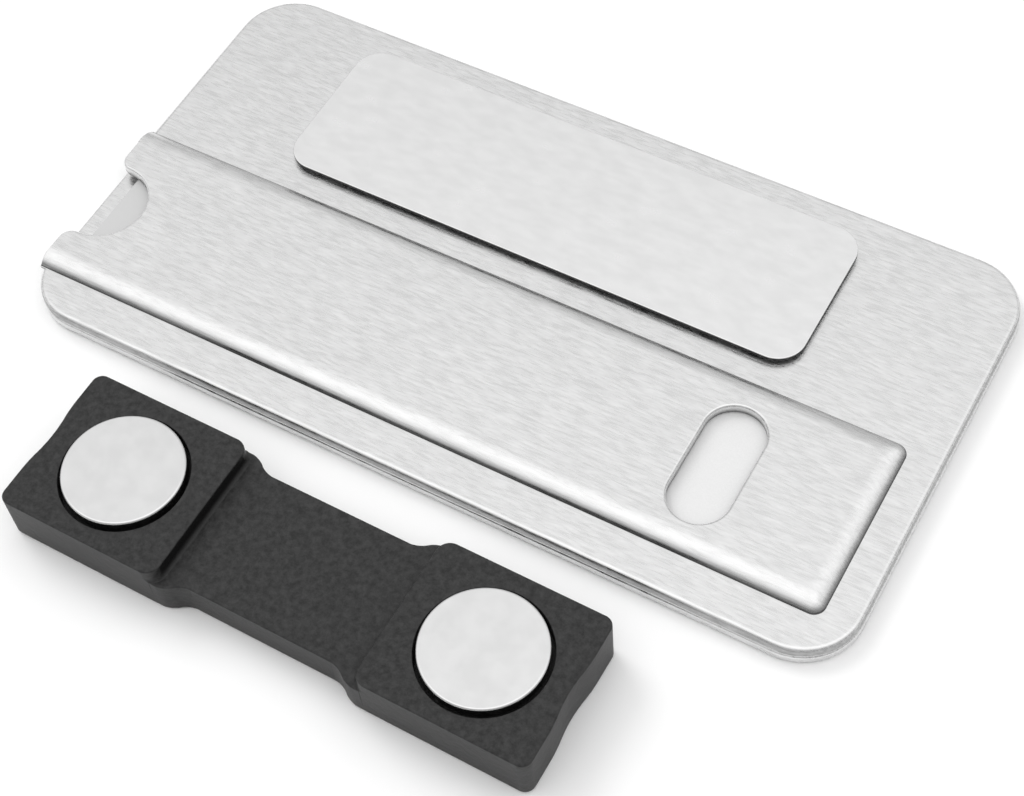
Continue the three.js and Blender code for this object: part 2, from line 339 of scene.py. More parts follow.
def finished(
    shape: bmesh.types.BMesh,
    name: str,
    place: Matrix,
    materials: Sequence[bpy.types.Material],
    body: str,
    node: str,
) -> bpy.types.Object:
    """Makes a shape a piece of the part, in the place of a CAD node.

    Args:
        shape: Closed mesh in millimetres; it is freed.
        name: Name of the piece.
        place: Matrix from the shape's own millimetres to the part's metres.
        materials: Its finishes, the main one first.
        body: Body that it rides on.
        node: CAD node that it stands for.

    Returns:
        The piece.
    """
    bmesh.ops.transform(shape, matrix=place, verts=shape.verts)
    for face in shape.faces:
        face.smooth = True
    piece = bare_object(shape, name)
    piece.data.set_sharp_from_angle(angle=math.radians(SHARP_DEG))
    for material in materials:
        piece.data.materials.append(material)
    shading = piece.modifiers.new("flats stay flat", "WEIGHTED_NORMAL")
    shading.keep_sharp = True
    shading.weight = FACE_WEIGHT
    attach(piece, body)
    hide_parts(node)
    log.info("%s: %d faces", name, len(piece.data.polygons))
    return piece


# Finishes

Setting = float | tuple[float, ...] | bpy.types.NodeSocket


def linear(hex_colour: str) -> tuple[float, float, float, float]:
    """Turns an sRGB hex colour to a linear one.

    Args:
        hex_colour: Six hex digits.

    Returns:
        Red, green, blue and an alpha of 1.
    """
    # The numbers are those of the sRGB curve
    shares = [int(hex_colour[i : i + 2], 16) / 255 for i in (0, 2, 4)]
    red, green, blue = (s / 12.92 if s <= 0.04045 else ((s + 0.055) / 1.055) ** 2.4 for s in shares)
    return red, green, blue, 1.0


def add(
    tree: bpy.types.NodeTree, kind: str, inputs: dict[str | int, Setting] | None = None, **settings: object
) -> bpy.types.Node:
    """Adds a node with its settings and links.

    Args:
        tree: Node tree that the node goes into.
        kind: The node's type.
        inputs: For each input, a value or the socket that is linked to it.
        settings: The node's own properties.

    Returns:
        The node.
    """
    node = tree.nodes.new(kind)
    for name, value in settings.items():
        setattr(node, name, value)
    for name, value in (inputs or {}).items():
        if isinstance(value, bpy.types.NodeSocket):
            tree.links.new(value, node.inputs[name])
        else:
            node.inputs[name].default_value = value
    return node


def new_material(name: str) -> tuple[bpy.types.Material, bpy.types.NodeTree, bpy.types.NodeSocket]:
    """Empty material with the object's own coordinates.

    Args:
        name: Name of the material.

    Returns:
        The material, its node tree and the socket of its object coordinates.
    """
    material = bpy.data.materials.new(name)
    material.use_nodes = True
    material.node_tree.nodes.clear()
    where = add(material.node_tree, "ShaderNodeTexCoord")
    return material, material.node_tree, where.outputs["Object"]


def close_material(
    tree: bpy.types.NodeTree,
    sheen: bpy.types.NodeSocket,
    relief: bpy.types.NodeSocket,
    roughness: float,
    swing: float,
    depth: float,
    inputs: dict[str | int, Setting],
) -> None:
    """Ends a material with a shader whose gloss and relief follow its pattern.

    Args:
        tree: The material's node tree.
        sheen: Pattern that the roughness follows.
        relief: Pattern that the surface rises with.
        roughness: Middle of the roughness.
        swing: How much the roughness varies in all.
        depth: Depth of the relief in millimetres.
        inputs: The shader's other inputs.
    """
    low, high = NOISE_SPREAD
    gloss = add(
        tree,
        "ShaderNodeMapRange",
        {
            "Value": sheen,
            "From Min": low,
            "From Max": high,
            "To Min": roughness - swing / 2,
            "To Max": roughness + swing / 2,
        },
    )
    bump = add(tree, "ShaderNodeBump", {"Height": relief, "Strength": 1.0, "Distance": depth * MM})
    follow = {"Roughness": gloss.outputs[0], "Normal": bump.outputs[0]}
    shader = add(tree, "ShaderNodeBsdfPrincipled", {**inputs, **follow})
    add(tree, "ShaderNodeOutputMaterial", {"Surface": shader.outputs[0]})


@dataclass(frozen=True)
class BrushedAluminium:
    """Mill sheet aluminium, brushed lengthwise with fine abrasive and left bare."""

    name: str = "brushed_aluminium"
    colour: str = "E8E8E8"
    shade_colour: str = "D4D4D4"
    roughness: float = 0.29
    roughness_swing: float = 0.12
    line_width: float = 0.23
    line_length: float = 1.4
    line_detail: float = 2.0
    line_bend: float = 0.3
    band_width: float = 0.8
    band_length: float = 2.5
    band_share: float = 0.25
    tint_spread: tuple[float, float] = (0.32, 0.68)
    line_depth: float = 0.011
    # Painted shade along the pocket's foot: its colour, its strength, and the heights it fades out between
    foot_shade_colour: str = "303030"
    foot_shade_strength: float = 0.92
    foot_shade_low: float = 1.8
    foot_shade_high: float = 2.3
    foot_shade_clear: float = 0.002

    def material(self) -> bpy.types.Material:
        """Builds the material: short thin lines that glint one by one, and dull bands between them."""
        material, tree, where = new_material(self.name)
        # Lines are drawn 0.23 mm wide, some five times the real scratch, because finer ones don't show
        per_m = 1 / MM
        line_scale = (per_m / self.line_length, per_m / self.line_width, per_m / self.line_width)
        band_scale = (per_m / self.band_length, per_m / self.band_width, per_m / self.band_width)
        line_place = add(tree, "ShaderNodeMapping", {"Vector": where, "Scale": line_scale})
        band_place = add(tree, "ShaderNodeMapping", {"Vector": where, "Scale": band_scale})
        drawn = {"Scale": 1.0, "Detail": self.line_detail}
        line_drawn = {"Vector": line_place.outputs[0], "Distortion": self.line_bend, **drawn}
        lines = add(tree, "ShaderNodeTexNoise", line_drawn)
        bands = add(tree, "ShaderNodeTexNoise", {"Vector": band_place.outputs[0], **drawn})
        mixed = {"Factor": self.band_share, VALUE_A: lines.outputs[0], VALUE_B: bands.outputs[0]}
        both = add(tree, "ShaderNodeMix", mixed)
        low, high = self.tint_spread
        share = add(tree, "ShaderNodeMapRange", {"Value": both.outputs[0], "From Min": low, "From Max": high})
        tint = add(
            tree,
            "ShaderNodeMix",
            {"Factor": share.outputs[0], COLOUR_A: linear(self.shade_colour), COLOUR_B: linear(self.colour)},
            data_type="RGBA",
        )
        # Painted shade in the crease at the pocket's foot, darkest at the bottom
        place = add(tree, "ShaderNodeSeparateXYZ", {"Vector": where})
        foot_shade_fade = add(
            tree,
            "ShaderNodeMapRange",
            {
                "Value": place.outputs["Z"],
                "From Min": self.foot_shade_low * MM,
                "From Max": self.foot_shade_high * MM,
                "To Min": self.foot_shade_strength,
                "To Max": 0.0,
            },
        )
        above = add(
            tree,
            "ShaderNodeMath",
            {0: place.outputs["Z"], 1: (self.foot_shade_low + self.foot_shade_clear) * MM},
            operation="GREATER_THAN",
        )
        foot_shade_mask = add(
            tree, "ShaderNodeMath", {0: foot_shade_fade.outputs[0], 1: above.outputs[0]}, operation="MULTIPLY"
        )
        foot_shaded = add(
            tree,
            "ShaderNodeMix",
            {
                "Factor": foot_shade_mask.outputs[0],
                COLOUR_A: tint.outputs[COLOUR_OUT],
                COLOUR_B: linear(self.foot_shade_colour),
            },
            data_type="RGBA",
        )
        metal = {"Base Color": foot_shaded.outputs[COLOUR_OUT], "Metallic": 1.0}
        swing, depth = self.roughness_swing, self.line_depth
        close_material(tree, lines.outputs[0], both.outputs[0], self.roughness, swing, depth, metal)
        return material


@dataclass(frozen=True)
class CloudedMetal:
    """Smooth plated metal whose only pattern is a faint clouding."""

    name: str
    colour: str
    shade_colour: str
    roughness: float
    roughness_swing: float
    cloud_size: float
    cloud_stretch: float
    ripple_depth: float
    cloud_detail: float = 4.0

    def material(self) -> bpy.types.Material:
        """Builds the material: an even sheen with slightly duller clouds in it."""
        material, tree, where = new_material(self.name)
        per_cloud = 1 / (self.cloud_size * MM)
        place = add(
            tree,
            "ShaderNodeMapping",
            {"Vector": where, "Scale": (per_cloud / self.cloud_stretch, per_cloud, per_cloud)},
        )
        drawn = {"Vector": place.outputs[0], "Scale": 1.0, "Detail": self.cloud_detail}
        clouds = add(tree, "ShaderNodeTexNoise", drawn).outputs[0]
        low, high = TINT_SPREAD
        share = add(tree, "ShaderNodeMapRange", {"Value": clouds, "From Min": low, "From Max": high})
        tint = add(
            tree,
            "ShaderNodeMix",
            {"Factor": share.outputs[0], COLOUR_A: linear(self.shade_colour), COLOUR_B: linear(self.colour)},
            data_type="RGBA",
        )
        metal = {"Base Color": tint.outputs[COLOUR_OUT], "Metallic": 1.0}
        swing, depth = self.roughness_swing, self.ripple_depth
        close_material(tree, clouds, clouds, self.roughness, swing, depth, metal)
        return material


@dataclass(frozen=True)
class GrainedSolid:
    """Dull solid material with a fine grain: moulded plastic, foam or card."""

    name: str
    colour: str
    grain_colour: str
    roughness: float
    ior: float
    grain_size: float
    grain_depth: float
    specular: float = 0.5
    roughness_swing: float = 0.1
    grain_detail: float = 5.0
    grain_harshness: float = 0.72

    def shaded(
        self, tree: bpy.types.NodeTree, where: bpy.types.NodeSocket, tint: bpy.types.NodeSocket
    ) -> bpy.types.NodeSocket:
        """Colour with whatever darkens it in places; here nothing does.

        Args:
            tree: The material's node tree.
            where: Object coordinates.
            tint: Colour of the grained surface.

        Returns:
            The colour that the shader takes.
        """
        return tint

    def material(self) -> bpy.types.Material:
        """Builds the material: grains of a second colour that also lift the surface."""
        material, tree, where = new_material(self.name)
        drawn = {
            "Vector": where,
            "Scale": 1 / (self.grain_size * MM),
            "Detail": self.grain_detail,
            "Roughness": self.grain_harshness,
        }
        grains = add(tree, "ShaderNodeTexNoise", drawn).outputs[0]
        low, high = TINT_SPREAD
        share = add(tree, "ShaderNodeMapRange", {"Value": grains, "From Min": low, "From Max": high})
        tint = add(
            tree,
            "ShaderNodeMix",
            {"Factor": share.outputs[0], COLOUR_A: linear(self.colour), COLOUR_B: linear(self.grain_colour)},
            data_type="RGBA",
        )
        solid = {
            "Base Color": self.shaded(tree, where, tint.outputs[COLOUR_OUT]),
            "IOR": self.ior,
            "Specular IOR Level": self.specular,
        }
        swing, depth = self.roughness_swing, self.grain_depth
        close_material(tree, grains, grains, self.roughness, swing, depth, solid)
        return material


@dataclass(frozen=True)
class MouldedPlastic(GrainedSolid):
    """Grained plastic with painted shade in the hollows at the pads' inner steps."""

    # Colour of the painted shade in the hollow at each pad's inner step
    step_shade_colour: str = "020202"

    def shaded(
        self, tree: bpy.types.NodeTree, where: bpy.types.NodeSocket, tint: bpy.types.NodeSocket
    ) -> bpy.types.NodeSocket:
        """Colour with painted shade that deepens with the piece's own crease attribute.

        Args:
            tree: The material's node tree.
            where: Object coordinates.
            tint: Colour of the grained surface.

        Returns:
            The colour that the shader takes.
        """
        crease_shade = add(tree, "ShaderNodeAttribute", {}, attribute_name=CREASE_SHADE)
        hollow = add(
            tree,
            "ShaderNodeMix",
            {"Factor": crease_shade.outputs["Fac"], COLOUR_A: tint, COLOUR_B: linear(self.step_shade_colour)},
            data_type="RGBA",
        )
        return hollow.outputs[COLOUR_OUT]


@dataclass(frozen=True)
class ShadedEndCard(GrainedSolid):
    """Card whose outer end, in the thumb notch, is greyed by painted shade."""

    # Painted shade over the card's end in the thumb notch: its colour, and the x where it is full and where
    # it ends
    end_shade_colour: str = "C8C8C8"
    shade_full_until: float = -33.5
    shade_clear_from: float = -30.5

    def shaded(
        self, tree: bpy.types.NodeTree, where: bpy.types.NodeSocket, tint: bpy.types.NodeSocket
    ) -> bpy.types.NodeSocket:
        """Colour with painted shade that deepens towards the pocket's open end.

        Args:
            tree: The material's node tree.
            where: Object coordinates.
            tint: Colour of the card without its painted shade.

        Returns:
            The colour that the shader takes.
        """
        place = add(tree, "ShaderNodeSeparateXYZ", {"Vector": where})
        end_shade = add(
            tree,
            "ShaderNodeMapRange",
            {
                "Value": place.outputs["X"],
                "From Min": self.shade_full_until * MM,
                "From Max": self.shade_clear_from * MM,
                "To Min": 1.0,
                "To Max": 0.0,
            },
        )
        end_shaded = add(
            tree,
            "ShaderNodeMix",
            {"Factor": end_shade.outputs[0], COLOUR_A: tint, COLOUR_B: linear(self.end_shade_colour)},
            data_type="RGBA",
        )
        return end_shaded.outputs[COLOUR_OUT]


@dataclass(frozen=True)
class PolyesterFilm:
    """Clear polyester film: glossy, very faintly rippled."""

    name: str = "polyester_film"
    colour: str = "F6F9F9"
    roughness: float = 0.05
    ior: float = 1.57
    ripple_size: float = 6.0
    ripple_detail: float = 2.0
    ripple_depth: float = 0.004

    def material(self) -> bpy.types.Material:
        """Builds the material: clear with slow ripples that bend the reflections."""
        material, tree, where = new_material(self.name)
        ripples = add(
            tree,
            "ShaderNodeTexNoise",
            {"Vector": where, "Scale": 1 / (self.ripple_size * MM), "Detail": self.ripple_detail},
        )
        bump = add(
            tree,
            "ShaderNodeBump",
            {"Height": ripples.outputs[0], "Strength": 1.0, "Distance": self.ripple_depth * MM},
        )
        shader = add(
            tree,
            "ShaderNodeBsdfPrincipled",
            {
                "Base Color": linear(self.colour),
                "Roughness": self.roughness,
                "IOR": self.ior,
                "Transmission Weight": 1.0,
                "Normal": bump.outputs[0],
            },
        )
        add(tree, "ShaderNodeOutputMaterial", {"Surface": shader.outputs[0]})
        return material


# Cold-rolled steel strip with thin bright plating: smoother and paler than the sheet, faint clouds along it
STEEL = CloudedMetal(
    name="plated_cold_rolled_steel",
    colour="EBEBEB",
    shade_colour="E5E5E5",
    roughness=0.25,
    roughness_swing=0.05,
    cloud_size=1.2,
    cloud_stretch=2.0,
    ripple_depth=0.002,
)
# Bright barrel nickel on a sintered disc: a soft bright sheen, with the sinter's faint mottling under it
NICKEL = CloudedMetal(
    name="barrel_plated_nickel",
    colour="DEDEDE",
    shade_colour="D8D8D8",
    roughness=0.2,
    roughness_swing=0.06,
    cloud_size=1.6,
    cloud_stretch=1.0,
    ripple_depth=0.003,
)
# Black ABS from a spark-eroded mould: dull, with fine pale specks where the grain catches the light. Its
# largest grains are drawn 0.6 mm wide, several times the real ones, because finer ones don't show
ABS = MouldedPlastic(
    name="grained_black_abs",
    colour="0A0A0A",
    grain_colour="303030",
    roughness=0.5,
    ior=1.54,
    grain_size=0.6,
    grain_depth=0.05,
    specular=0.38,
)
# Closed-cell polyethylene foam tape: dark and lightless, with small cells at its cut edges
FOAM = GrainedSolid(
    name="closed_cell_foam",
    colour="2A2A2B",
    grain_colour="4A4A4B",
    roughness=0.95,
    ior=1.5,
    grain_size=0.25,
    grain_depth=0.05,
)
# Bleached card, calendered smooth: white, with the faint clouding of its fibres, and painted shade over its
# end in the thumb notch
CARD = ShadedEndCard(
    name="bleached_card",
    colour="DEDEDE",
    grain_colour="E4E4E4",
    roughness=0.75,
    ior=1.47,
    grain_size=0.12,
    grain_depth=0.004,
)
# Sheared edge of the aluminium sheets: duller than their brushed faces, and greyer partly by painted shade
SHADED_SHEARED_SHEET = CloudedMetal(
    name="shaded_sheared_aluminium_edge",
    colour="C0C0C0",
    shade_colour="A4A4A4",
    roughness=0.48,
    roughness_swing=0.1,
    cloud_size=0.3,
    cloud_stretch=4.0,
    ripple_depth=0.01,
)
# Sheared edge of the steel strip: torn and unplated, and dark partly by painted shade
SHADED_SHEARED_STRIP = CloudedMetal(
    name="shaded_sheared_steel_edge",
    colour="5A5A5A",
    shade_colour="303030",
    roughness=0.6,
    roughness_swing=0.1,
    cloud_size=0.3,
    cloud_stretch=1.0,
    ripple_depth=0.02,
)
# Bare brushed aluminium: pale grey, streaked along its length by lines that glint one by one
SHEET = BrushedAluminium()
# Clear film: all but unseen, save for the bend in what it reflects
FILM = PolyesterFilm()


# The badge


@dataclass
class Plate:
    """The badge's plate: front sheet, and back sheet with the card pocket pressed up from it."""

    length: float = 76.0
    width: float = 40.5
    corner_r: float = 5.2
    front_t: float = 0.95
    front_edge_r: float = 0.3
    back_t: float = 0.85
    back_edge_r: float = 0.45
    back_foot_r: float = 0.08
    sheet_step: float = 0.1
    near_margin: float = 3.7
    far_margin: float = 20.05
    end_margin: float = 3.0
    rise: float = 0.9
    shoulder_run: float = 1.7
    shoulder_steps: int = 12
    break_deg: float = 42.0
    foot_deg: float = 78.0
    foot_corner_r: float = 1.0
    tight_corner_r: float = 0.3
    top_corner_r: float = 1.0
    foot_fillet_r: float = 0.1
    fillet_steps: int = 5
    open_reach: float = 4.0
    end_lip_r: float = 0.1
    end_lip_steps: int = 3
    # How deep the pocket's body is rooted in the sheet, and how far over the rim its open end is rounded from
    pillow_root: float = 0.3
    lip_floor: float = 0.1
    notch_r: float = 3.85
    notch_depth: float = 5.05
    notch_y: float = 11.6
    notch_shoulder_r: float = 1.2
    # How far the wide part of the notch's cutter stays off the open end, and how far over the front sheet
    # the notch's and the slot's cutters end, in the pocket's hollow
    notch_clear: float = 0.01
    cut_floor: float = 0.4
    slot_width: float = 5.2
    slot_length: float = 11.4
    slot_y: float = 11.85
    slot_x: float = 60.45
    lip_r: float = 0.28
    side_slope: float = 0.68
    window_border: float = 2.4
    window_corner_r: float = 1.0
    window_lip_r: float = 0.15
    window_reach: float = 2.0

    def place(self) -> Matrix:
        """Matrix from the plate's millimetres to the part's metres."""
        low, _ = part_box("front_plate")
        return Matrix.Translation((low[0], low[1], 0)) @ Matrix.Scale(MM, 4)

    def rim_top(self) -> float:
        """Height of the rim round the pocket."""
        return self.front_t + self.back_t

    def shoulder_r(self) -> float:
        """Radius of the shoulder's arc, which is flat at the pocket's top."""
        return (self.shoulder_run**2 + self.rise**2) / (2 * self.rise)

    def pocket_corner_r(self, inset: float) -> float:
        """Radius of the pocket's corners: it tightens up the steep part of the shoulder and opens above it.

        Args:
            inset: How far the corner lies inside the pocket's foot.

        Returns:
            The radius.
        """
        tightest = self.foot_corner_r - self.tight_corner_r
        if inset < tightest:
            return self.foot_corner_r - inset
        share = (inset - tightest) / (self.shoulder_run - tightest)
        return self.tight_corner_r + share * (self.top_corner_r - self.tight_corner_r)

    def pocket_corners(self, inset: float) -> list[Corner]:
        """Outline of the pocket at one height, past the plate's open end.

        Args:
            inset: How far it lies inside the pocket's foot.

        Returns:
            The outline's corners.
        """
        near = self.near_margin + inset
        far = self.width - self.far_margin - inset
        end = self.length - self.end_margin - inset
        corner_r = self.pocket_corner_r(inset)
        return rectangle(-self.open_reach, near, end + self.open_reach, far - near, corner_r)

    def slope(self) -> list[tuple[float, float]]:
        """Section of the pocket's shoulder: a fillet at its foot, a tight arc up the wall, a slack one above.

        Returns:
            Pairs of the distance inside the foot and the height above the rim, lowest first.
        """
        turn, steep = math.radians(self.break_deg), math.radians(self.foot_deg)
        slack_run, slack_rise = math.sin(turn), 1 - math.cos(turn)
        tight_run, tight_rise = math.sin(steep) - math.sin(turn), math.cos(turn) - math.cos(steep)
        share = slack_run * tight_rise - tight_run * slack_rise
        slack_r = (self.shoulder_run * tight_rise - tight_run * self.rise) / share
        tight_r = (slack_run * self.rise - slack_rise * self.shoulder_run) / share
        start = -self.foot_fillet_r * math.tan(steep / 2)
        points: list[tuple[float, float]] = []
        for i in range(self.fillet_steps):
            angle = steep * i / self.fillet_steps
            inset = start + self.foot_fillet_r * math.sin(angle)
            points.append((inset, self.foot_fillet_r * (1 - math.cos(angle))))
        fillet_rise = self.foot_fillet_r * (1 - math.cos(steep))
        for i in range(self.shoulder_steps + 1):
            angle = steep + (turn - steep) * i / self.shoulder_steps
            up = slack_rise * slack_r + (math.cos(turn) - math.cos(angle)) * tight_r
            inset = self.shoulder_run - slack_run * slack_r - (math.sin(angle) - math.sin(turn)) * tight_r
            if self.rise - up > fillet_rise:
                points.append((inset, self.rise - up))
        for i in range(1, self.shoulder_steps + 1):
            angle = turn * (1 - i / self.shoulder_steps)
            inset = self.shoulder_run - slack_r * math.sin(angle)
            points.append((inset, self.rise - slack_r * (1 - math.cos(angle))))
        return points

    def hollow(self) -> bmesh.types.BMesh:
        """The room under the pocket, as a closed body that reaches below the plate."""
        centre_z = self.rim_top() + self.rise - self.shoulder_r()
        r = self.shoulder_r() - self.back_t
        steepest = math.acos((self.front_t - centre_z) / r)
        foot = self.pocket_corners(self.shoulder_run - r * math.sin(steepest))
        levels = [(foot, self.front_t - CUTTER_REACH)]
        for i in range(self.shoulder_steps + 1):
            angle = steepest * (1 - i / self.shoulder_steps)
            inset = self.shoulder_run - r * math.sin(angle)
            levels.append((self.pocket_corners(inset), centre_z + r * math.cos(angle)))
        return lofted(levels)

    def pillow(self) -> bmesh.types.BMesh:
        """Pocket's outer body, cut off at the plate's open end with a slightly rounded edge."""
        slope = self.slope()
        levels = [(self.pocket_corners(slope[0][0]), self.rim_top() - self.pillow_root)]
        levels += [(self.pocket_corners(inset), self.rim_top() - HAIR + up) for inset, up in slope]
        shape = lofted(levels)
        everything = [*shape.verts, *shape.edges, *shape.faces]
        bmesh.ops.bisect_plane(
            shape, geom=everything, dist=SAME, plane_co=(0, 0, 0), plane_no=(-1, 0, 0), clear_outer=True
        )
        cut = [e for e in shape.edges if e.is_boundary]
        bmesh.ops.holes_fill(shape, edges=cut)
        bmesh.ops.recalc_face_normals(shape, faces=shape.faces)
        above = self.rim_top() + self.lip_floor
        lip = [e for e in shape.edges if all(v.co.x < WELD and v.co.z > above for v in e.verts)]
        bevel(shape, lip, self.end_lip_r, self.end_lip_steps, Rounded.EDGES)
        return shape

    def notch(self) -> bmesh.types.BMesh:
        """Cutter for the thumb notch: a round scoop whose mouth is opened by two round shoulders."""
        near, far = self.notch_y - self.notch_r, self.notch_y + self.notch_r
        beyond = self.notch_r + CUTTER_REACH
        corners = [
            Corner(-self.open_reach, self.notch_y - beyond),
            Corner(-self.notch_clear, self.notch_y - beyond),
            Corner(0, near, self.notch_shoulder_r),
            Corner(self.notch_depth, near, self.notch_r * NEARLY_FULL),
            Corner(self.notch_depth, far, self.notch_r * NEARLY_FULL),
            Corner(0, far, self.notch_shoulder_r),
            Corner(-self.notch_clear, self.notch_y + beyond),
            Corner(-self.open_reach, self.notch_y + beyond),
        ]
        return lipped_cutter(corners, self.front_t + self.cut_floor, self.rim_top() + self.rise, self.lip_r)

    def slot(self) -> bmesh.types.BMesh:
        """Cutter for the push-out slot."""
        width, length = self.slot_width, self.slot_length
        r = width / 2 * NEARLY_FULL
        corners = rectangle(self.slot_x - width / 2, self.slot_y - length / 2, width, length, r)
        return lipped_cutter(corners, self.front_t + self.cut_floor, self.rim_top() + self.rise, self.lip_r)

    def build_back(self, finish: bpy.types.Material, edge_finish: bpy.types.Material) -> bpy.types.Object:
        """Builds the pressed back sheet.

        Args:
            finish: The sheet's material.
            edge_finish: The material of its sheared sides, which carries painted shade.

        Returns:
            The piece.
        """
        step = self.sheet_step
        corners = rectangle(0, step, self.length - step, self.width - 2 * step, self.corner_r - step)
        shape = prism(corners, self.front_t, self.rim_top(), self.back_edge_r, self.back_foot_r)
        shape = carved(shape, self.pillow(), Cut.JOIN)
        shape = carved(shape, self.hollow(), Cut.REMOVE)
        shape = carved(shape, self.notch(), Cut.REMOVE)
        shape = carved(shape, self.slot(), Cut.REMOVE)
        mark_sides(shape, self.rim_top(), self.side_slope)
        finishes = [finish, edge_finish]
        return finished(shape, "pressed_back", self.place(), finishes, "badge", "back_plate")

    def build_front(self, finish: bpy.types.Material) -> bpy.types.Object:
        """Builds the front sheet with its window.

        Args:
            finish: The sheet's material.

        Returns:
            The piece.
        """
        corners = rectangle(0, 0, self.length, self.width, self.corner_r)
        shape = prism(corners, 0, self.front_t, self.front_edge_r, self.front_edge_r)
        card_low, card_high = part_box("insert_card")
        plate_low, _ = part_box("front_plate")
        x, y = ((card_low[i] - plate_low[i]) / MM + self.window_border for i in (0, 1))
        length, width = ((card_high[i] - card_low[i]) / MM - 2 * self.window_border for i in (0, 1))
        hole = rectangle(x, y, length, width, self.window_corner_r)
        window = lipped_cutter(hole, -self.window_reach, 0.0, self.window_lip_r)
        bmesh.ops.scale(window, vec=(1, 1, -1), verts=window.verts)
        bmesh.ops.recalc_face_normals(window, faces=window.faces)
        shape = carved(shape, window, Cut.REMOVE)
        return finished(shape, "front_sheet", self.place(), [finish], "badge", "front_plate")


@dataclass
class Keeper:
    """Steel keeper strip on its foam tape."""

    length: float = 49.2
    width: float = 14.8
    corner_r: float = 2.5
    x: float = 12.55
    y: float = 22.83
    strip_bottom: float = 2.15
    strip_t: float = 0.35
    strip_edge_r: float = 0.09
    tape_bottom: float = 1.8
    tape_inset: float = 0.35
    tape_edge_r: float = 0.06
    side_slope: float = 0.4

    def corners(self, inset: float) -> list[Corner]:
        """Outline of the strip, or of the tape inside it.

        Args:
            inset: How far the outline lies inside the strip's.

        Returns:
            The outline's corners.
        """
        length, width = self.length - 2 * inset, self.width - 2 * inset
        return rectangle(self.x + inset, self.y + inset, length, width, self.corner_r - inset)

    def build_strip(
        self, place: Matrix, finish: bpy.types.Material, edge_finish: bpy.types.Material
    ) -> bpy.types.Object:
        """Builds the steel strip.

        Args:
            place: The plate's matrix.
            finish: The strip's material.
            edge_finish: The material of its sheared sides, which carries painted shade.

        Returns:
            The piece.
        """
        top = self.strip_bottom + self.strip_t
        shape = prism(self.corners(0), self.strip_bottom, top, self.strip_edge_r, self.strip_edge_r)
        mark_sides(shape, top, self.side_slope)
        finishes = [finish, edge_finish]
        return finished(shape, "keeper_plate", place, finishes, "badge", "keeper_strip")

    def build_tape(self, place: Matrix, finish: bpy.types.Material) -> bpy.types.Object:
        """Builds the foam tape, its cut edges slightly rounded.

        Args:
            place: The plate's matrix.
            finish: The tape's material.

        Returns:
            The piece.
        """
        corners, r = self.corners(self.tape_inset), self.tape_edge_r
        shape = prism(corners, self.tape_bottom, self.strip_bottom, r, r)
        return finished(shape, "foam_strip", place, [finish], "badge", "foam_tape")


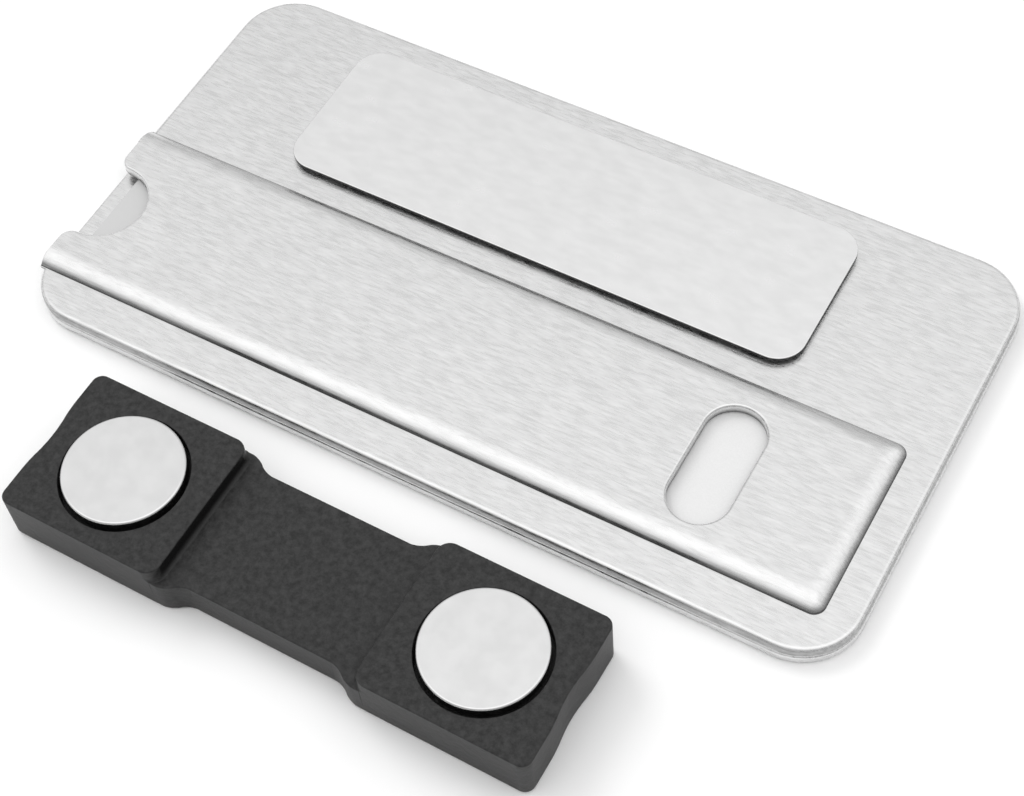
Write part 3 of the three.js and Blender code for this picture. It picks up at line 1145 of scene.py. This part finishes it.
@dataclass
class Bar:
    """Moulded magnet bar with its two magnets."""

    length: float = 47.5
    pad_width: float = 13.4
    middle_width: float = 11.35
    pad_height: float = 4.85
    middle_height: float = 3.5
    corner_r: float = 0.9
    edge_r: float = 0.16
    foot_r: float = 0.3
    recess_length: float = 17.8
    pad_corner_r: float = 1.2
    neck_length: float = 2.7
    neck_centre: float = 7.65
    waist_depth: float = 0.27
    waist_outer: float = 2.7
    waist_inner: float = 0.95
    pad_proud: float = 0.008
    magnet_d: float = 10.0
    magnet_t: float = 2.0
    magnet_edge_r: float = 0.22
    magnet_proud: float = 0.4
    seat_gap: float = 0.27
    seat_shift: tuple[float, float] = (0.09, -0.1)
    seat_lip_r: float = 0.08
    step_fillet_r: float = 0.5
    step_fillet_steps: int = 6
    # Small steps that keep faces of the joined solids from coinciding, as pad_proud does
    pad_sink: float = 0.02
    body_lift: float = 0.01
    disc_steps: int = 96

    def magnet_x(self) -> float:
        """Distance from the bar's middle to the middle of each pad."""
        return (self.recess_length + self.length) / 4

    def seat_floor(self) -> float:
        """Height of the seats' floors, which the magnets stand on."""
        return self.pad_height + self.magnet_proud - self.magnet_t

    def place(self) -> Matrix:
        """Matrix from the bar's millimetres to the part's metres, through both magnets' middles."""
        left, right = (
            (Vector(low) + Vector(high)) / 2
            for low, high in (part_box("magnet_left"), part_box("magnet_right"))
        )
        along = right - left
        middle = (left + right) / 2
        turn = Matrix.Rotation(math.atan2(along.y, along.x), 4, "Z")
        return Matrix.Translation((middle.x, middle.y, 0)) @ turn @ Matrix.Scale(MM, 4)

    def end_corners(self, start_x: float, start_r: float, grow: float) -> list[Corner]:
        """Right-hand end of the bar's outline, from its near side round to its far side.

        Args:
            start_x: Where the pad's width starts.
            start_r: Rounding there.
            grow: How far the outline stands out from the bar's.

        Returns:
            The corners.
        """
        end = self.length / 2 + grow
        half = self.pad_width / 2 + grow
        waist_r = (self.waist_outer - self.waist_inner) / 2 / math.tan(
            math.atan2(self.waist_depth, self.waist_outer - self.waist_inner) / 2
        )
        side = [
            Corner(start_x, -half, start_r),
            Corner(end, -half, self.corner_r),
            Corner(end, -self.waist_outer, waist_r),
            Corner(end - self.waist_depth, -self.waist_inner, waist_r),
        ]
        return [*side, *(Corner(c.x, -c.y, c.r) for c in reversed(side))]

    def whole_corners(self) -> list[Corner]:
        """Outline of the whole bar, with an S-shaped neck at each side of each pad."""
        half_middle = self.middle_width / 2
        step = (self.pad_width - self.middle_width) / 2
        neck_r = (self.neck_length**2 + step**2) / (4 * step)
        reach = neck_r * math.tan(math.asin(self.neck_length / 2 / neck_r) / 2)
        inner_x = self.neck_centre - self.neck_length / 2 + reach
        outer_x = self.neck_centre + self.neck_length / 2 - reach
        right = [
            Corner(inner_x, -half_middle, neck_r * NEARLY_FULL),
            *self.end_corners(outer_x, neck_r * NEARLY_FULL, 0.0),
            Corner(inner_x, half_middle, neck_r * NEARLY_FULL),
        ]
        return [*right, *(Corner(-c.x, -c.y, c.r) for c in right)]

    def build_pad(self, side: int) -> bmesh.types.BMesh:
        """Builds one pad, whose inner step runs out onto the middle in a hollow fillet.

        Args:
            side: -1 for the left one, 1 for the right one.

        Returns:
            The pad.
        """
        r, steps = self.step_fillet_r, self.step_fillet_steps
        foot = self.middle_height - self.pad_sink
        levels = [(r, 0.0), (r, foot)]
        for i in range(1, steps + 1):
            angle = math.radians(90 * i / steps)
            levels.append((r * (1 - math.sin(angle)), foot + r * (1 - math.cos(angle))))
        levels.append((0.0, self.pad_height))
        rings = []
        for reach, z in levels:
            corners = self.end_corners(self.recess_length / 2 - reach, self.pad_corner_r, self.pad_proud)
            rings.append(([Corner(side * c.x, side * c.y, c.r) for c in corners], z))
        shape = lofted(rings)
        round_level(shape, self.pad_height, self.edge_r)
        round_level(shape, 0.0, self.foot_r)
        return shape

    def mark_creases(self, shape: bmesh.types.BMesh) -> None:
        """Writes how deep each point lies in the hollow at a pad's inner step, which sets the plastic's
        painted shade there.

        Args:
            shape: The whole moulding.
        """
        depth = shape.verts.layers.float.new(CREASE_SHADE)
        for vert in shape.verts:
            out = self.recess_length / 2 - abs(vert.co.x)
            # The small steps between the solids serve as play
            above_flat = vert.co.z > self.middle_height + self.body_lift
            on_step = -self.pad_sink < out < self.step_fillet_r and above_flat
            vert[depth] = 1 - out / self.step_fillet_r if on_step else 0.0

    def build_body(self, finish: bpy.types.Material) -> bpy.types.Object:
        """Builds the moulding: a low body with two pads on it and a round seat in each.

        Args:
            finish: The moulding's material.

        Returns:
            The piece.
        """
        corners = self.whole_corners()
        shape = prism(corners, self.body_lift, self.middle_height, self.edge_r, self.foot_r)
        for side in (1, -1):
            shape = carved(shape, self.build_pad(side), Cut.JOIN)
        r = self.magnet_d / 2 + self.seat_gap
        shift_x, shift_y = self.seat_shift
        for side in (1, -1):
            corner_x = side * self.magnet_x() + shift_x - r
            round_hole = rectangle(corner_x, shift_y - r, 2 * r, 2 * r, r * NEARLY_FULL)
            seat = lipped_cutter(round_hole, self.seat_floor(), self.pad_height, self.seat_lip_r)
            shape = carved(shape, seat, Cut.REMOVE)
        self.mark_creases(shape)
        return finished(shape, "bar_moulding", self.place(), [finish], "badge", "magnet_bar")

    def build_magnet(self, side: int, name: str, node: str, finish: bpy.types.Material) -> bpy.types.Object:
        """Builds one magnet: a disc with rounded rims.

        Args:
            side: -1 for the left one, 1 for the right one.
            name: Name of the piece.
            node: CAD node that it stands for.
            finish: The magnet's material.

        Returns:
            The piece.
        """
        shape = bmesh.new()
        bmesh.ops.create_circle(shape, cap_ends=True, segments=self.disc_steps, radius=self.magnet_d / 2)
        extrude(shape, shape.faces[:], self.magnet_t)
        round_level(shape, self.magnet_t, self.magnet_edge_r)
        round_level(shape, 0, self.magnet_edge_r)
        bmesh.ops.translate(shape, vec=(side * self.magnet_x(), 0, self.seat_floor()), verts=shape.verts)
        return finished(shape, name, self.place(), [finish], "badge", node)


# The studio


@dataclass
class Studio:
    """Pale floor, soft light and camera: in metres, save for the lens and the sensor."""

    floor_size: float = 4.0
    floor_gap: float = 0.00002
    floor_colour: str = "FAFAFA"
    floor_mottle: float = 0.025
    floor_detail: float = 2.0
    floor_roughness: tuple[float, float] = (0.85, 0.95)
    floor_specular: float = 0.1
    strength: float = 1.48
    back_share: float = 0.5
    sky_axis: tuple[float, float, float] = (-0.2, 0.36, 0.8)
    scrim_axis: tuple[float, float, float] = (-0.5, 1.0, 0.0)
    scrim_range: tuple[float, float] = (-0.1, 1.0)
    key_turn: tuple[float, float, float] = (0.0, -0.85, -0.35)
    key_strength: float = 0.7
    key_spread: float = 0.5
    camera_place: tuple[float, float, float] = (0.055846, -0.074552, 0.136636)
    camera_turn: tuple[float, float, float] = (0.584096, 0.060229, 0.514344)
    camera_near: float = 0.01
    lens: float = 70.48
    sky_stops: tuple[tuple[float, float], ...] = (
        (0.0, 0.3),
        (0.1, 0.33),
        (0.3, 0.58),
        (0.45, 0.78),
        (0.58, 0.92),
        (0.75, 1.0),
    )
    sensor: float = 36.0

    def build_floor(self) -> None:
        """Builds the floor, a hair under the badge so that the two never share a surface."""
        shape = bmesh.new()
        bmesh.ops.create_grid(shape, x_segments=1, y_segments=1, size=self.floor_size / 2)
        bmesh.ops.translate(shape, vec=(0, 0, -self.floor_gap), verts=shape.verts)
        floor = bare_object(shape, "floor")
        # Matt white board: no glints, and a sheen that hardly varies
        material, tree, where = new_material("matt_white_board")
        drawn = {"Vector": where, "Scale": 1 / self.floor_mottle, "Detail": self.floor_detail}
        mottle = add(tree, "ShaderNodeTexNoise", drawn)
        low, high = self.floor_roughness
        gloss = add(tree, "ShaderNodeMapRange", {"Value": mottle.outputs[0], "To Min": low, "To Max": high})
        shader = add(
            tree,
            "ShaderNodeBsdfPrincipled",
            {
                "Base Color": linear(self.floor_colour),
                "Roughness": gloss.outputs[0],
                "Specular IOR Level": self.floor_specular,
            },
        )
        add(tree, "ShaderNodeOutputMaterial", {"Surface": shader.outputs[0]})
        floor.data.materials.append(material)

    def build_sky(self) -> None:
        """Lights the scene by a soft white sky, bright overhead and dark low at the front and right."""
        world = bpy.data.worlds.new("soft_box")
        bpy.context.scene.world = world
        world.use_nodes = True
        tree = world.node_tree
        tree.nodes.clear()
        where = add(tree, "ShaderNodeTexCoord").outputs["Generated"]
        height = add(tree, "ShaderNodeVectorMath", {0: where, 1: self.sky_axis}, operation="DOT_PRODUCT")
        ramp = add(tree, "ShaderNodeValToRGB", {"Fac": height.outputs["Value"]})
        while len(ramp.color_ramp.elements) < len(self.sky_stops):
            ramp.color_ramp.elements.new(0.5)
        for element, (place, level) in zip(ramp.color_ramp.elements, self.sky_stops):
            element.position = place
            element.color = (level, level, level, 1)
        behind = add(tree, "ShaderNodeVectorMath", {0: where, 1: self.scrim_axis}, operation="DOT_PRODUCT")
        low, high = self.scrim_range
        scrim = add(
            tree,
            "ShaderNodeMapRange",
            {
                "Value": behind.outputs["Value"],
                "From Min": low,
                "From Max": high,
                "To Min": self.strength,
                "To Max": self.strength * self.back_share,
            },
        )
        sky = add(tree, "ShaderNodeBackground", {"Color": ramp.outputs[0], "Strength": scrim.outputs[0]})
        add(tree, "ShaderNodeOutputWorld", {"Surface": sky.outputs[0]})

    def build_window_light(self) -> None:
        """Adds a wide soft light from one side, which gives the shadows but no glints of its own."""
        data = bpy.data.lights.new("window_light", "SUN")
        data.energy = self.key_strength
        data.angle = self.key_spread
        key = bpy.data.objects.new("window_light", data)
        key.rotation_euler = self.key_turn
        key.visible_glossy = False
        bpy.context.scene.collection.objects.link(key)

    def build_camera(self) -> None:
        """Places the camera as in the photograph."""
        data = bpy.data.cameras.new("camera")
        data.sensor_fit = "HORIZONTAL"
        data.sensor_width = self.sensor
        data.lens = self.lens
        data.clip_start = self.camera_near
        camera = bpy.data.objects.new("camera", data)
        bpy.context.scene.collection.objects.link(camera)
        camera.location = self.camera_place
        camera.rotation_euler = self.camera_turn
        bpy.context.scene.camera = camera
        bpy.context.scene.view_settings.view_transform = "Standard"


def main() -> None:
    """Builds the badge and the studio."""
    logging.basicConfig(level=logging.INFO, format="%(name)s: %(message)s")
    sheet_finish = SHEET.material()
    plate = Plate()
    plate.build_front(sheet_finish)
    plate.build_back(sheet_finish, SHADED_SHEARED_SHEET.material())
    keeper = Keeper()
    keeper.build_tape(plate.place(), FOAM.material())
    keeper.build_strip(plate.place(), STEEL.material(), SHADED_SHEARED_STRIP.material())
    bar = Bar()
    bar.build_body(ABS.material())
    nickel = NICKEL.material()
    bar.build_magnet(-1, "disc_left", "magnet_left", nickel)
    bar.build_magnet(1, "disc_right", "magnet_right", nickel)
    for node, finish in (("window_pane", FILM), ("insert_card", CARD)):
        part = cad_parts[node]
        part.data.materials.clear()
        part.data.materials.append(finish.material())
        log.info("%s: new finish", node)
    studio = Studio()
    studio.build_floor()
    studio.build_sky()
    studio.build_window_light()
    studio.build_camera()


if __name__ == "__main__":
    main()
